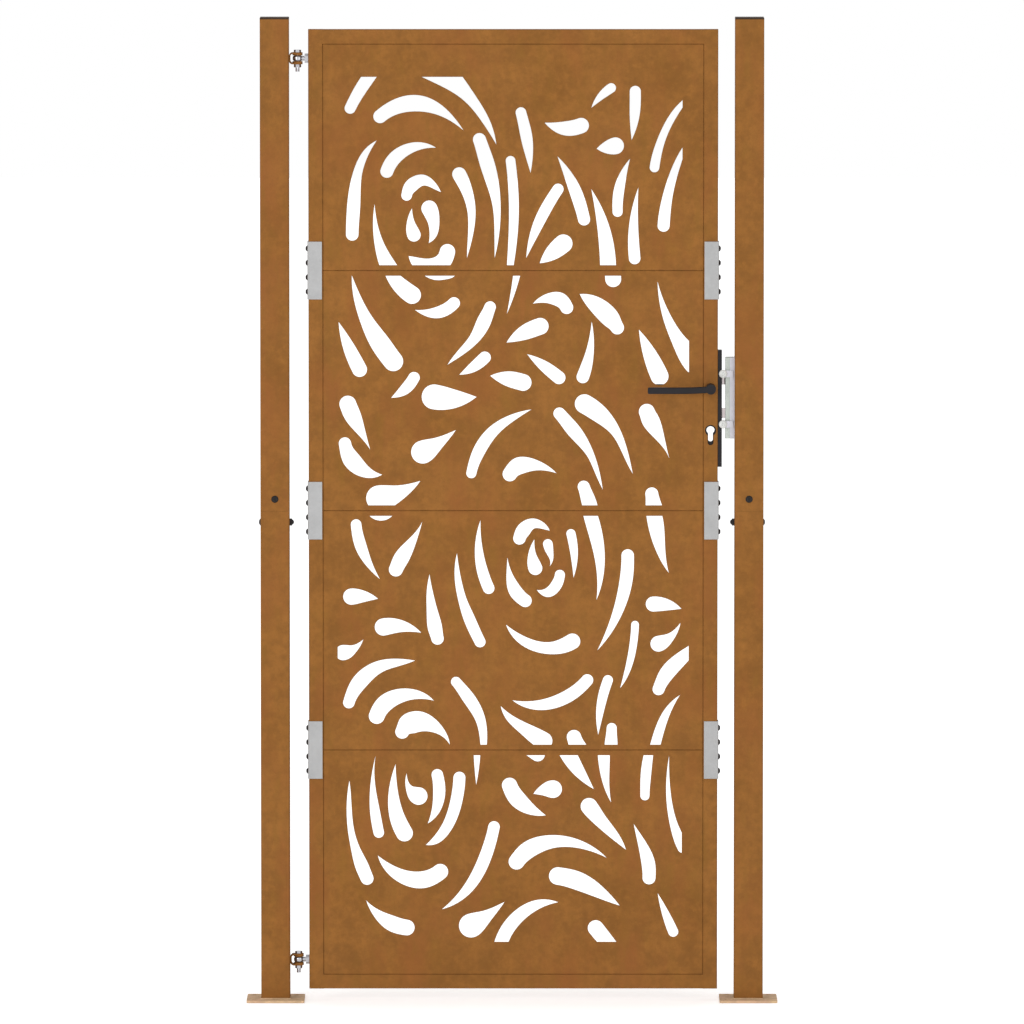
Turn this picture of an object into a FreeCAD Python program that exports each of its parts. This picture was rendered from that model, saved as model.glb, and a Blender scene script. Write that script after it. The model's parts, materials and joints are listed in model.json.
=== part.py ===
import FreeCAD, Part
import math
import os

# Garden gate of weathering steel: two bolted posts, a leaf of four cut-out panels, pin hinges and a lock.
# Millimetres.  X runs along the gate from hinge post to lock post, Y away from the viewer, Z up.

V = FreeCAD.Vector

# Driving dimensions; CUT is how far a cutting tool reaches past the metal it cuts
LEAF_W = 850.0
LEAF_H = 2000.0
LEAF_D = 30.0
LEAF_CLEAR = 25.0
PANELS = 4
STILE = 30.0
STILE_WALL = 2.0
STILE_CORNER = 2.5
SHEET = 2.0
FOLD_DEPTH = 26.0
FOLD_R = 2.5
HINGE_GAP = 40.0
LOCK_GAP = 35.0
POST = 60.0
POST_WALL = 2.0
POST_CORNER = 4.0
POST_H = 2050.0
CAP_T = 3.0
PLATE = 120.0
PLATE_T = 5.0
PLATE_PITCH = 86.0
PLATE_HOLE_R = 6.0
HINGE_INSET = 60.0
PIVOT_OFF_POST = 17.8
PIN_R = 4.0
PIN_PLAY = 0.05
LOCK_PROUD = 8.5
KEEP_T = 19.5
SCREW_PLAY = 0.2
CUT = 20.0

# Worked out from the driving dimensions
HALF_W = (LEAF_W + HINGE_GAP + LOCK_GAP) / 2
POST_X = HALF_W + POST / 2
LEAF_X0 = -HALF_W + HINGE_GAP
LEAF_X1 = HALF_W - LOCK_GAP
LEAF_Z0 = LEAF_CLEAR
LEAF_Z1 = LEAF_CLEAR + LEAF_H
PANEL_H = LEAF_H / PANELS
SEAMS = [LEAF_Z0 + PANEL_H * k for k in range(1, PANELS)]
FRONT = -LEAF_D / 2
PIVOT_X = -HALF_W + PIVOT_OFF_POST
HINGE_Z = {"bottom": LEAF_Z0 + HINGE_INSET, "top": LEAF_Z1 - HINGE_INSET}
POST_SEAM = LEAF_Z0 + LEAF_H / 2

# Lock positions
LOCK_X = LEAF_X1 - STILE / 2
SPINDLE_Z = 1280.0
CYLINDER_Z = SPINDLE_Z - 88.0
LATCH_Z = SPINDLE_Z + 17.0
DEADBOLT_Z = SPINDLE_Z - 52.5
FOREND_Z0 = 1116.0
FOREND_H = 243.0
KEEP_Z0 = 1175.0
KEEP_H = 169.0
STOP_Z = (1205.0, 1310.0)
FOREND_X = LEAF_X1 + LOCK_PROUD
KEEP_X = HALF_W - KEEP_T

# Cut-outs: each petal is a list of stations (x, z, half width) along its middle line, round end first,
# closed by its pointed tip (x, z).  x and z are measured from the lower left corner of the leaf.
PETALS_TOP = [
    [(87, 1837, 11.5), (127, 1903, 13), (185, 1965)],
    [(149, 1820, 14), (222, 1847.5, 17), (322, 1791)],
    [(237, 1937, 32), (332, 1862, 13), (371, 1806, 7.3), (390, 1762)],
    [(91, 1575, 13), (94.5, 1640, 13.5), (103, 1705, 9.3), (117, 1740, 7), (142, 1770)],
    [(163, 1706, 13.5), (184, 1738, 13.5), (221, 1757, 9.5), (265, 1755)],
    [(355, 1772, 13.5), (371, 1722, 15.3), (390, 1640, 8.8), (391, 1575, 4.8), (386.5, 1526)],
    [(441, 1828, 11), (453, 1775, 12), (458.5, 1735, 7), (461, 1703)],
    [(566, 1801, 16), (535, 1795, 15), (490, 1807)],
    [(628, 1879, 10), (609, 1864, 8), (587, 1838)],
    [(678, 1872, 11.5), (676.5, 1820, 10), (670.5, 1771)],
    [(718, 1714, 10), (731, 1768, 8.3), (764, 1832, 6.5), (800, 1870)],
    [(637, 1759, 17.5), (618, 1755.5, 13), (598, 1753)],
    [(641.5, 1622, 10.5), (645, 1670, 10.7), (667, 1732)],
    [(572, 1606, 12.5), (557, 1657, 13), (517, 1737)],
    [(518, 1669, 11.5), (480, 1603, 11.3), (452, 1526)],
    [(529, 1556, 19), (507, 1537.5, 16), (480, 1515)],
    [(622, 1505, 16.5), (613, 1585, 13), (587, 1669)],
    [(677, 1525, 12), (674.5, 1585, 10), (684.5, 1672)],
    [(737, 1593, 12.5), (746.5, 1660, 10), (770, 1733, 6.2), (790, 1775)],
    [(204, 1656, 11), (213, 1675, 13.8), (240, 1687.5, 11.2), (258, 1678.5, 7), (275, 1663)],
    [(251, 1629, 16.5), (260, 1600, 12), (259, 1575, 7.8), (250, 1557)],
    [(219, 1574, 14), (212.5, 1600, 8.3), (215, 1629)],
    [(178, 1488, 18), (148.5, 1550, 10.5), (137.5, 1638)],
    [(288.5, 1539, 16), (266, 1511, 17), (240, 1510, 15), (208, 1530)],
    [(313, 1700, 14.5), (326, 1673, 12.5), (338, 1628, 8.8), (336.5, 1575, 5.3), (329, 1526)],
    [(419.5, 1728, 10), (426.5, 1630, 10.2), (419, 1512, 7), (405, 1415)],
]
PETALS_UPPER = [
    [(176, 1311, 20.5), (150, 1347, 20.5), (119, 1400, 13.2), (101, 1445, 7.5), (90, 1490)],
    [(106, 1294, 15.5), (88, 1331, 13.5), (62.5, 1393)],
    [(215, 1449, 18.5), (194, 1465.5, 17), (150, 1530)],
    [(290, 1502, 19), (265, 1499, 19), (222, 1507)],
    [(302, 1432, 12.5), (270, 1413, 12.2), (221, 1418)],
    [(377, 1424, 12), (366, 1398, 14.5), (345.5, 1360, 11.3), (316, 1329.5, 6.8), (288.5, 1304)],
    [(366, 1319, 12.5), (345, 1301, 11), (313, 1283)],
    [(440, 1540, 9), (428, 1470, 5.8), (412, 1410)],
    [(536, 1423, 13.5), (518.5, 1440.5, 15), (491, 1441, 8.6), (466, 1431)],
    [(481, 1384, 17.5), (452, 1372.5, 16), (411, 1350)],
    [(520, 1277, 13.5), (492, 1299, 11.7), (454, 1326)],
    [(569.5, 1278.5, 13), (583, 1325, 9), (588, 1394)],
    [(641, 1381, 14), (632, 1394, 17.5), (612, 1416, 19.5), (563, 1451)],
    [(803, 1308, 24), (770, 1352, 15.5), (747, 1396, 9.3), (724.5, 1477)],
    [(729, 1280, 18.5), (713.5, 1315, 16), (686, 1377)],
    [(81.5, 1222, 17.5), (90.5, 1200, 17.5), (105, 1172, 11.4), (128, 1127)],
    [(75.5, 1140, 12.8), (88, 1108, 18), (120.5, 1080, 12), (153, 1075)],
    [(219, 1277, 12), (202, 1254.5, 11.5), (171.5, 1235)],
    [(261, 1237, 26), (300, 1233, 20.5), (349, 1237)],
    [(445.5, 1267, 17.5), (418, 1274, 16.4), (377, 1281)],
    [(237, 1122, 24), (265, 1138, 14.8), (306, 1168)],
    [(146, 1026, 26.5), (186, 1036.5, 17), (232, 1062)],
    [(338, 1078, 10.5), (353, 1122, 12.8), (385, 1167, 11.5), (424, 1194, 7), (463, 1211)],
    [(418, 1076, 15), (437.5, 1093.5, 18), (470, 1095, 11.7), (515, 1078)],
    [(521, 1202.5, 12.5), (549, 1169, 14.5), (586, 1116, 7.5), (597, 1088, 5.4), (611, 1044)],
    [(573, 1222.5, 20), (602, 1203, 18.5), (637, 1166, 10.5), (658, 1120, 5.8), (673.5, 1077)],
    [(702.5, 1206, 16.5), (708.5, 1192, 18), (723.5, 1164, 13.3), (749.5, 1108)],
    [(571.5, 1050, 12.5), (581, 1022, 15), (600, 940)],
    [(713, 1035, 13.5), (717, 1010, 17), (735, 900)],
    [(632.5, 1482, 16.5), (628, 1520, 16), (600, 1600)],
]
PETALS_LOWER = [
    [(98.5, 971, 11), (108.5, 925, 12), (124, 891, 7.5), (148, 857)],
    [(150, 1012, 33), (150, 1050, 20), (150, 1100)],
    [(181, 877, 14.5), (191, 898, 16), (215, 936, 8.7), (236, 977)],
    [(88.5, 820.5, 17), (112, 821, 12.8), (144, 816)],
    [(155, 757, 18), (190, 759, 13.2), (234, 745)],
    [(267.5, 733, 13), (263, 752, 14.8), (256.5, 790, 11.5), (252, 824, 7.3), (251, 867)],
    [(356, 726, 11.5), (333.5, 775, 11.8), (320, 812, 9), (312, 845, 7.3), (308, 911)],
    [(374, 838, 12), (361.5, 872, 11.5), (353.3, 920, 8), (357, 980)],
    [(450, 812, 13.5), (428.5, 834, 13.7), (417.5, 865, 6.8), (413, 902)],
    [(438, 942, 13), (445, 957, 14.8), (467, 973, 10.7), (485, 969, 7), (501, 958)],
    [(471, 880, 14.5), (464.5, 908, 8.5), (469, 940)],
    [(497, 930.5, 10), (500.5, 915, 8), (504.3, 900, 4), (501, 884)],
    [(545, 952, 9.5), (551.3, 915, 8.2), (550.5, 860)],
    [(573, 1027, 13), (587, 985, 14.6), (603.2, 915, 11.8), (598, 813)],
    [(714, 1008, 15), (719, 985, 16.3), (730, 925, 11), (748.5, 870)],
    [(663, 906.5, 13), (660.5, 860, 13.5), (641, 785, 10), (600, 708)],
    [(716.5, 805, 15.8), (740, 804, 13.2), (775, 795)],
    [(678.5, 762, 8), (674, 715, 7.8), (664.5, 672, 6.3), (647.5, 629)],
    [(727, 722, 16.5), (748, 733, 10.6), (773, 766)],
    [(548, 727, 16.5), (505, 713, 13), (451, 725.5, 10), (410, 762)],
    [(71, 703.5, 16), (92.5, 711, 9), (113, 731)],
    [(83, 599, 12), (104, 640, 16), (146.5, 674, 12.7), (185, 683, 8), (221, 687)],
    [(141, 571, 16.5), (159, 598, 17.7), (205, 616, 12.7), (260, 603)],
    [(194, 538, 14.5), (203, 550, 20.5), (226, 559.5, 22), (262.5, 548, 12.5), (293, 511)],
    [(306, 642.5, 10.5), (330.5, 611, 13), (356, 566, 10.5), (363.5, 513, 6.8), (360, 450)],
    [(488, 519, 18.5), (446, 546, 12.5), (420, 565, 8), (399, 592)],
    [(551.5, 527, 15), (562, 500, 19), (605, 440)],
    [(630, 546, 10.5), (629, 518, 13), (625, 430)],
    [(705, 440, 11), (721.5, 513, 10.5), (742, 573, 8), (772, 615)],
    [(727.5, 627, 12.5), (744, 659, 15.5), (775, 691.5, 14), (830, 740)],
    [(622, 646, 10.5), (611, 610, 10), (604, 568, 6.5), (602, 532)],
    [(579, 646, 12.5), (539, 612.5, 13.4), (490, 595, 11.5), (423, 604)],
    [(522, 866, 10.5), (517, 849, 11.5), (502, 831.5, 11), (474, 834.5)],
]
PETALS_BOTTOM = [
    [(120.5, 231, 13.5), (110.5, 255, 14), (97.5, 290, 9.8), (87.5, 330, 6.6), (83.3, 380, 5.2), (84, 436)],
    [(145, 327, 11), (138.5, 362, 10.8), (132.8, 420, 5.7), (138.5, 488)],
    [(198.5, 326, 17.5), (181.7, 365, 15.2), (175.3, 415, 9.3), (180, 470)],
    [(228, 403.5, 18.5), (209.5, 419, 8.5), (203, 451)],
    [(267, 448, 12), (271, 415, 12.7), (266, 380, 9.8), (247, 346)],
    [(313, 442, 12.5), (308, 400, 12.5), (283.5, 333.5, 11), (266.5, 313.5, 8.8), (243, 301)],
    [(349.5, 530, 8), (349.5, 480, 6.2), (348, 427)],
    [(417.5, 426, 16), (434, 397.5, 17.5), (462, 375.5, 11.6), (493, 363)],
    [(476, 491, 15), (456, 505, 15), (410, 540)],
    [(508, 418, 18.5), (489, 416, 12.8), (467, 408)],
    [(534, 502, 17), (561, 457, 12.6), (593, 418)],
    [(613, 520, 13), (614, 480, 12), (618.5, 430, 6.6), (629, 390)],
    [(699.3, 404, 9.5), (701, 445, 10.8), (706.5, 489, 9.8), (745, 590)],
    [(583, 382, 17.5), (603.5, 356, 14.5), (634.5, 322.5, 9.3), (660, 291)],
    [(708, 232, 13.5), (706, 265, 14), (693, 305, 8.5), (676, 345)],
    [(779, 296, 12), (760.7, 340, 8.5), (749, 400, 5.2), (749.5, 488)],
    [(273, 245, 16.5), (230, 227.7, 17.7), (178.5, 243.5, 12), (143, 279)],
    [(203, 128, 16.5), (172, 136.7, 16.5), (144, 155, 9.8), (118.5, 185)],
    [(385, 339, 12), (371.5, 289, 12.8), (343.5, 228, 12), (276, 166)],
    [(337, 132, 25), (365, 149, 15.3), (407, 182)],
    [(432, 266, 16.5), (457.5, 291.5, 18), (505, 308, 14), (560, 303.5, 8.8), (620, 274)],
    [(518, 236, 18.5), (555, 227.5, 19.4), (604.5, 202.5, 13), (647, 174)],
    [(398, 90, 14), (422, 137, 14), (467.5, 173, 11), (519, 181)],
    [(597, 127, 16.5), (614, 106, 16), (680, 40)],
    [(758.5, 119, 10.5), (744.3, 153, 8.1), (726, 200)],
]
# Petals of the panels from the bottom up
PANEL_PETALS = [PETALS_BOTTOM, PETALS_LOWER, PETALS_UPPER, PETALS_TOP]
# Plain border left round the cut-outs: beside the outer panels, beside the inner ones, at leaf ends, at seams
BORDER_OUTER = 74.0
BORDER_INNER = 60.0
BORDER_END = 98.0
BORDER_SEAM = 11.0

PARTS = "parts"


def box(x0, x1, y0, y1, z0, z1):
    """A block between two corners."""
    return Part.makeBox(x1 - x0, y1 - y0, z1 - z0, V(x0, y0, z0))


def rod(radius, start, end):
    """A round bar between two points."""
    run = end - start
    return Part.makeCylinder(radius, run.Length, start, run)


def hexagon(across_flats, start, end, bore=0.0):
    """A hexagonal bar between two points, with an optional bore."""
    run = end - start
    radius = across_flats / math.sqrt(3)
    side = V(0, 0, 1) if abs(run.z) < 0.5 * run.Length else V(1, 0, 0)
    corners = []
    for k in range(7):
        turn = FreeCAD.Rotation(run, 60.0 * k)
        corners.append(start + turn.multVec(side * radius))
    shape = Part.Face(Part.makePolygon(corners)).extrude(run)
    if bore > 0:
        shape = shape.cut(rod(bore, start, end))
    return shape


def button(radius, height, base, direction):
    """A low domed screw head standing on a surface, with a hexagon socket."""
    crown = (radius * radius + height * height) / (2 * height)
    ball = Part.makeSphere(crown, base + direction * (height - crown))
    head = rod(radius, base, base + direction * height).common(ball)
    socket = hexagon(0.75 * radius, base + direction * 0.4 * height, base + direction * (height + 1))
    return head.cut(socket)


def fuse(shapes):
    """One clean solid from touching pieces."""
    return shapes[0].multiFuse(shapes[1:]).removeSplitter()


def edges_along(shape, axis):
    """Straight edges of a block that run along an axis."""
    return [e for e in shape.Edges if abs(e.tangentAt(e.FirstParameter).dot(axis)) > 0.9]


def tube(size, depth, wall, corner, x, y, z0, z1):
    """A rectangular tube standing on Z, centred on (x, y), with rounded corners."""
    outer = box(x - size / 2, x + size / 2, y - depth / 2, y + depth / 2, z0, z1)
    outer = outer.makeFillet(corner, edges_along(outer, V(0, 0, 1)))
    inner = box(x - size / 2 + wall, x + size / 2 - wall, y - depth / 2 + wall, y + depth / 2 - wall,
                z0 - 1, z1 + 1)
    return outer.cut(inner)


def export(name, shape):
    """Write one sub-part."""
    shape.exportStep(os.path.join(PARTS, name + ".step"))


# ---------------------------------------------------------------- posts

SLEEVE_HALF = 80.0
SLEEVE_WALL = 2.5
SLEEVE_PLAY = 0.2
SLEEVE_CORNER = 3.0
POST_BOLT_R = 4.0
POST_BOLT_HOLE_R = 4.4
POST_BOLT_OFF = 25.0
POST_BOLT_END = 6.0
POST_HEAD_R = 7.5
POST_HEAD_H = 4.2
DOME_NUT_AF = 13.0
DOME_NUT_T = 5.5
DOME_R = 5.8
CAP_EDGE_R = 1.2
CAP_PLUG_H = 18.0
CAP_PLUG_WALL = 3.0
PLATE_CORNER = 4.0
BEAD = 2.0


def post_bolt_holes(x):
    """Clearance holes of the front bolt and the side bolt of one post."""
    front_z = POST_SEAM + POST_BOLT_OFF
    side_z = POST_SEAM - POST_BOLT_OFF
    front = rod(POST_BOLT_HOLE_R, V(x, -POST, front_z), V(x, POST, front_z))
    side = rod(POST_BOLT_HOLE_R, V(x - POST, 0, side_z), V(x + POST, 0, side_z))
    return [front, side]


def keep_holes():
    """Threaded holes behind the keep."""
    return [rod(KEEP_SCREW_R, V(HALF_W, 0, z), V(HALF_W + CUT, 0, z)) for z in KEEP_SCREW_Z]


def post_halves(name, x, extra):
    """Lower and upper half of one post."""
    top = POST_H - CAP_T
    for part, z0, z1 in (("lower", PLATE_T, POST_SEAM), ("upper", POST_SEAM, top)):
        shape = tube(POST, POST, POST_WALL, POST_CORNER, x, 0, z0, z1)
        export("post_%s_%s" % (part, name), shape.cut(post_bolt_holes(x) + extra))


def post_sleeve(name, x):
    """Inner sleeve that joins the two halves of a post."""
    size = POST - 2 * POST_WALL - 2 * SLEEVE_PLAY
    z0 = POST_SEAM - SLEEVE_HALF
    shape = tube(size, size, SLEEVE_WALL, SLEEVE_CORNER, x, 0, z0, z0 + 2 * SLEEVE_HALF)
    export("post_sleeve_" + name, shape.cut(post_bolt_holes(x)))


def post_cap(name, x):
    """Closing cap with a plug that goes into the tube."""
    half = POST / 2
    under = POST_H - CAP_T
    lid = box(x - half, x + half, -half, half, under, POST_H)
    lid = lid.makeFillet(CAP_EDGE_R, [e for e in lid.Edges if e.CenterOfMass.z > POST_H - 0.1])
    plug_half = half - POST_WALL - SLEEVE_PLAY
    plug = box(x - plug_half, x + plug_half, -plug_half, plug_half, under - CAP_PLUG_H, under)
    core = plug_half - CAP_PLUG_WALL
    hollow = box(x - core, x + core, -core, core, under - CAP_PLUG_H - 1, under)
    export("post_cap_" + name, fuse([lid, plug.cut(hollow)]))


def base_plate(name, x):
    """Foot plate with four anchor holes and the weld bead round the post."""
    half = PLATE / 2
    plate = box(x - half, x + half, -half, half, 0, PLATE_T)
    plate = plate.makeFillet(PLATE_CORNER, edges_along(plate, V(0, 0, 1)))
    for sx in (-1, 1):
        for sy in (-1, 1):
            centre = V(x + sx * PLATE_PITCH / 2, sy * PLATE_PITCH / 2, -1)
            plate = plate.cut(rod(PLATE_HOLE_R, centre, centre + V(0, 0, CUT)))
    square = ((-1, -1), (1, -1), (1, 1), (-1, 1), (-1, -1))
    rings = []
    for reach, z in ((POST / 2 + BEAD, PLATE_T), (POST / 2, PLATE_T + BEAD)):
        rings.append(Part.makePolygon([V(x + sx * reach, sy * reach, z) for sx, sy in square]))
    bead = Part.makeLoft(rings, True)
    post = box(x - POST / 2, x + POST / 2, -POST / 2, POST / 2, PLATE_T, PLATE_T + BEAD + 1)
    export("base_plate_" + name, fuse([plate, bead.cut(post)]))


def post_fasteners(name, x, outward):
    """Cross bolts of one post with their dome nuts."""
    half = POST / 2
    pieces = []
    front = (V(x, 0, POST_SEAM + POST_BOLT_OFF), V(0, -1, 0))
    side = (V(x, 0, POST_SEAM - POST_BOLT_OFF), V(outward, 0, 0))
    for centre, out in (front, side):
        shank = rod(POST_BOLT_R, centre + out * half, centre - out * (half + POST_BOLT_END))
        head = button(POST_HEAD_R, POST_HEAD_H, centre + out * half, out)
        pieces.append(fuse([shank, head]))
        foot = centre - out * half
        nut = hexagon(DOME_NUT_AF, foot, foot - out * DOME_NUT_T)
        middle = foot - out * (DOME_NUT_T - 2)
        dome = Part.makeSphere(DOME_R, middle).common(rod(DOME_R + 1, middle, foot - out * CUT))
        pieces.append(fuse([nut, dome]).cut(rod(POST_BOLT_R, foot, foot - out * POST_BOLT_END)))
    export("post_fasteners_" + name, Part.makeCompound(pieces))


# ---------------------------------------------------------------- hinges

ARM_T = 6.0
ARM_GAP = 12.5
ARM_R = 10.5
STRIP_T = 3.0
STRIP_BEND_R = 5.0
PIN_HEAD_T = 5.3
PIN_NUT_T = 6.5
PIN_NUT_AF = 13.0
PIN_THREAD_OUT = 9.0
EYE_R = 10.0
EYE_T = 11.5
EYE_EDGE_R = 4.0
EYE_SHANK_R = 5.0
EYE_SHANK_IN = 25.0
EYE_NUT_AF = 17.0
EYE_NUT_T = 7.3
EYE_HOLE_PLAY = 0.3


def hinge_bracket(name, z):
    """Strip bent to a U and welded to the hinge post, with a thick round boss on each arm."""
    face = -HALF_W
    low = z - ARM_GAP / 2 - ARM_T
    high = z + ARM_GAP / 2 + ARM_T
    outer = box(face, PIVOT_X, -ARM_R, ARM_R, low, high)
    bends = [e for e in edges_along(outer, V(0, 1, 0)) if abs(e.CenterOfMass.x - face) < 0.1]
    outer = outer.makeFillet(STRIP_BEND_R + STRIP_T, bends)
    inner = box(face + STRIP_T, PIVOT_X + CUT, -ARM_R - 1, ARM_R + 1, low + STRIP_T, high - STRIP_T)
    bends = [e for e in edges_along(inner, V(0, 1, 0)) if abs(e.CenterOfMass.x - face - STRIP_T) < 0.1]
    pieces = [outer.cut(inner.makeFillet(STRIP_BEND_R, bends))]
    for boss_z in (low, high - ARM_T):
        pieces.append(rod(ARM_R, V(PIVOT_X, 0, boss_z), V(PIVOT_X, 0, boss_z + ARM_T)))
    bore = rod(PIN_R, V(PIVOT_X, 0, z - 2 * ARM_GAP), V(PIVOT_X, 0, z + 2 * ARM_GAP))
    export("hinge_bracket_" + name, fuse(pieces).cut(bore))


def hinge_pin(name, z):
    """Hexagon bolt that is the pivot, dropped in from above."""
    top = z + ARM_GAP / 2 + ARM_T
    end = z - ARM_GAP / 2 - ARM_T - PIN_NUT_T - PIN_THREAD_OUT
    head = hexagon(PIN_NUT_AF, V(PIVOT_X, 0, top), V(PIVOT_X, 0, top + PIN_HEAD_T))
    shank = rod(PIN_R, V(PIVOT_X, 0, top), V(PIVOT_X, 0, end))
    export("hinge_pin_" + name, fuse([shank, head]))


def hinge_nuts():
    """Nuts under the lower arms."""
    pieces = []
    for z in HINGE_Z.values():
        top = z - ARM_GAP / 2 - ARM_T
        pieces.append(hexagon(PIN_NUT_AF, V(PIVOT_X, 0, top), V(PIVOT_X, 0, top - PIN_NUT_T), PIN_R))
    export("hinge_nuts", Part.makeCompound(pieces))


def eyebolt(name, z):
    """Rounded eye on the pin with a threaded shank through the stile."""
    eye = rod(EYE_R, V(PIVOT_X, 0, z - EYE_T / 2), V(PIVOT_X, 0, z + EYE_T / 2))
    eye = eye.makeFillet(EYE_EDGE_R, [e for e in eye.Edges if abs(e.CenterOfMass.z - z) > 1])
    shank = rod(EYE_SHANK_R, V(PIVOT_X + PIN_R, 0, z), V(LEAF_X0 + EYE_SHANK_IN, 0, z))
    bore = rod(PIN_R + PIN_PLAY, V(PIVOT_X, 0, z - CUT), V(PIVOT_X, 0, z + CUT))
    export("eyebolt_" + name, fuse([eye, shank]).cut(bore))


def eyebolt_nuts(name, z):
    """Nut outside and nut inside the stile wall."""
    outer = hexagon(EYE_NUT_AF, V(LEAF_X0 - EYE_NUT_T, 0, z), V(LEAF_X0, 0, z), EYE_SHANK_R)
    inside = LEAF_X0 + STILE_WALL
    inner = hexagon(EYE_NUT_AF, V(inside, 0, z), V(inside + EYE_NUT_T, 0, z), EYE_SHANK_R)
    export("eyebolt_nuts_" + name, Part.makeCompound([outer, inner]))


# ---------------------------------------------------------------- leaf frame

JOINT_H = 120.0
JOINT_T = 2.0
JOINT_FLANGE = 28.0
JOINT_SCREW_OFF = (-45.0, -15.0, 15.0, 45.0)
JOINT_SCREW_R = 3.0
JOINT_SCREW_L = 10.0
JOINT_HEAD_R = 6.5
JOINT_HEAD_H = 4.5
NUT_STRIP_T = 4.0
NUT_STRIP_HALF = 9.0
PANEL_SCREW_R = 3.0
PANEL_SCREW_L = 9.0
PANEL_HEAD_R = 5.3
PANEL_HEAD_H = 3.3
PANEL_SCREW_ROWS = (0.16, 0.84)


def stile_side(side):
    """Outer face and outward sign of the hinge stile or the lock stile."""
    return (LEAF_X0, -1) if side == "left" else (LEAF_X1, 1)


def panel_screw_heights(k):
    """Heights of the screws that hold panel k between the stiles."""
    return [LEAF_Z0 + PANEL_H * (k + share) for share in PANEL_SCREW_ROWS]


def keyhole(sizes):
    """Profile-cylinder opening cut along Y; sizes are the round radius, slot half width and drop."""
    radius, slot_half, drop = sizes
    ring = rod(radius, V(LOCK_X, -CUT, CYLINDER_Z), V(LOCK_X, CUT, CYLINDER_Z))
    end_z = CYLINDER_Z - drop + slot_half
    slot = box(LOCK_X - slot_half, LOCK_X + slot_half, -CUT, CUT, end_z, CYLINDER_Z)
    end = rod(slot_half, V(LOCK_X, -CUT, end_z), V(LOCK_X, CUT, end_z))
    return ring.fuse([slot, end])


def stile(side, k):
    """One length of stile with its screw holes."""
    face, out = stile_side(side)
    x = face - out * STILE / 2
    z0 = LEAF_Z0 + PANEL_H * k
    z1 = z0 + PANEL_H
    shape = tube(STILE, LEAF_D, STILE_WALL, STILE_CORNER, x, 0, z0, z1)
    inner = STILE / 2 - STILE_WALL
    if k == 0:
        shape = shape.fuse(box(x - inner, x + inner, -inner, inner, z0, z0 + STILE_WALL))
    if k == PANELS - 1:
        shape = shape.fuse(box(x - inner, x + inner, -inner, inner, z1 - STILE_WALL, z1))
    cuts = []
    for seam in SEAMS:
        for off in JOINT_SCREW_OFF:
            start = V(x, 0, seam + off)
            cuts.append(rod(JOINT_SCREW_R + SCREW_PLAY, start, start + V(out * CUT, 0, 0)))
    for z in panel_screw_heights(k):
        cuts.append(rod(PANEL_SCREW_R, V(x, 0, z), V(x - out * CUT, 0, z)))
    if side == "left":
        for z in HINGE_Z.values():
            cuts.append(rod(EYE_SHANK_R + EYE_HOLE_PLAY, V(x, 0, z), V(x - CUT, 0, z)))
    elif z0 < SPINDLE_Z < z1:
        slot_half = CASE_HALF_D + CASE_PLAY
        cuts.append(box(x, x + CUT, -slot_half, slot_half, CASE_Z0 - 1, CASE_Z1 + 1))
        cuts.append(rod(SPINDLE_HOLE_R, V(x, -CUT, SPINDLE_Z), V(x, CUT, SPINDLE_Z)))
        cuts.append(keyhole(STILE_KEYHOLE))
    export("stile_%s_%d" % (side, k + 1), shape.cut(cuts).removeSplitter())


def dressed_welds(x, out, z0):
    """Weld metal, ground flush, in the two grooves where a stile corner meets a rail end."""
    pieces = []
    reach = LEAF_D / 2 - STILE_CORNER
    for side in (-1, 1):
        xs = sorted((x, x + out * STILE_CORNER))
        ys = sorted((side * reach, side * LEAF_D / 2))
        centre = V(x + out * STILE_CORNER, side * reach, z0)
        groove = box(xs[0], xs[1], ys[0], ys[1], z0, z0 + STILE)
        pieces.append(groove.cut(rod(STILE_CORNER, centre, centre + V(0, 0, STILE))))
    return pieces


def rail(name, z0):
    """Cross tube between the stiles at one end of the leaf."""
    x0 = LEAF_X0 + STILE
    x1 = LEAF_X1 - STILE
    half = LEAF_D / 2
    outer = box(x0, x1, -half, half, z0, z0 + STILE)
    outer = outer.makeFillet(STILE_CORNER, edges_along(outer, V(1, 0, 0)))
    core = half - STILE_WALL
    inner = box(x0 - 1, x1 + 1, -core, core, z0 + STILE_WALL, z0 + STILE - STILE_WALL)
    export("rail_" + name, fuse([outer.cut(inner)] + dressed_welds(x0, -1, z0) + dressed_welds(x1, 1, z0)))


def joint_plate(side, k):
    """Zinc-plated channel that clasps the stile over a seam."""
    face, out = stile_side(side)
    seam = SEAMS[k]
    half = LEAF_D / 2
    z0 = seam - JOINT_H / 2
    z1 = seam + JOINT_H / 2
    xs = sorted((face + out * JOINT_T, face - out * JOINT_FLANGE))
    outer = box(xs[0], xs[1], -half - JOINT_T, half + JOINT_T, z0, z1)
    web_x = face + out * JOINT_T
    bends = [e for e in edges_along(outer, V(0, 0, 1)) if abs(e.CenterOfMass.x - web_x) < 0.1]
    outer = outer.makeFillet(JOINT_T, bends)
    core = sorted((face, face - out * (JOINT_FLANGE + 1)))
    shape = outer.cut(box(core[0], core[1], -half, half, z0 - 1, z1 + 1))
    for off in JOINT_SCREW_OFF:
        start = V(face, 0, seam + off)
        shape = shape.cut(rod(JOINT_SCREW_R + SCREW_PLAY, start, start + V(out * CUT, 0, 0)))
    export("joint_plate_%s_%d" % (side, k + 1), shape)


def joint_screws(side):
    """Button-head screws through the joint plates of one stile."""
    face, out = stile_side(side)
    pieces = []
    for seam in SEAMS:
        for off in JOINT_SCREW_OFF:
            base = V(face + out * JOINT_T, 0, seam + off)
            shank = rod(JOINT_SCREW_R, base, base - V(out * JOINT_SCREW_L, 0, 0))
            pieces.append(fuse([shank, button(JOINT_HEAD_R, JOINT_HEAD_H, base, V(out, 0, 0))]))
    export("joint_screws_" + side, Part.makeCompound(pieces))


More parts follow.
